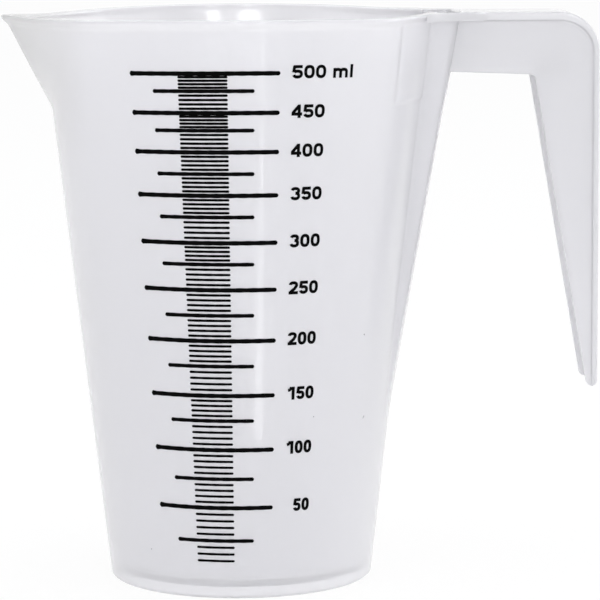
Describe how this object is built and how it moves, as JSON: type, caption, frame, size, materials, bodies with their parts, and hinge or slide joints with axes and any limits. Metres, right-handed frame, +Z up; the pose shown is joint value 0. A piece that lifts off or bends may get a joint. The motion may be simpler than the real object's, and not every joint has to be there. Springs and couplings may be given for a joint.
{
  "type": "measuring jug",
  "caption": "Measuring jug for half a litre in milky translucent plastic: a conical vessel with a V spout, a black printed millilitre scale and a hooked strap handle with an open lower end.",
  "frame": {"origin": "on the vessel's axis at the height of the table, in the middle of the ring that the jug stands on", "axes": "+Z up, +X towards the handle, -X towards the spout, -Y the side with the printed scale"},
  "size_m": [0.1392, 0.094, 0.1333],
  "materials": {
    "pp": "satin",
    "ink": "satin"
  },
  "bodies": {
    "root": {"foot_ring": "pp", "vessel_floor": "pp", "vessel_wall": "pp", "rim_bead_front": "pp", "rim_bead_back": "pp", "pouring_spout": "pp", "spout_lip": "pp", "root_cheek_front": "pp", "root_cheek_back": "pp", "root_skin": "pp", "root_pad_front": "pp", "root_pad_back": "pp", "strap_flare_front": "pp", "strap_flare_back": "pp", "handle_strap": "pp", "handle_cheek_front": "pp", "handle_cheek_back": "pp", "corner_web": "pp", "lines_50_ml": "ink", "lines_25_ml": "ink", "lines_5_ml": "ink", "number_500": "ink", "number_450": "ink", "number_400": "ink", "number_350": "ink", "number_300": "ink", "number_250": "ink", "number_200": "ink", "number_150": "ink", "number_100": "ink", "number_50": "ink", "unit_ml": "ink"}
  },
  "joints": []
}
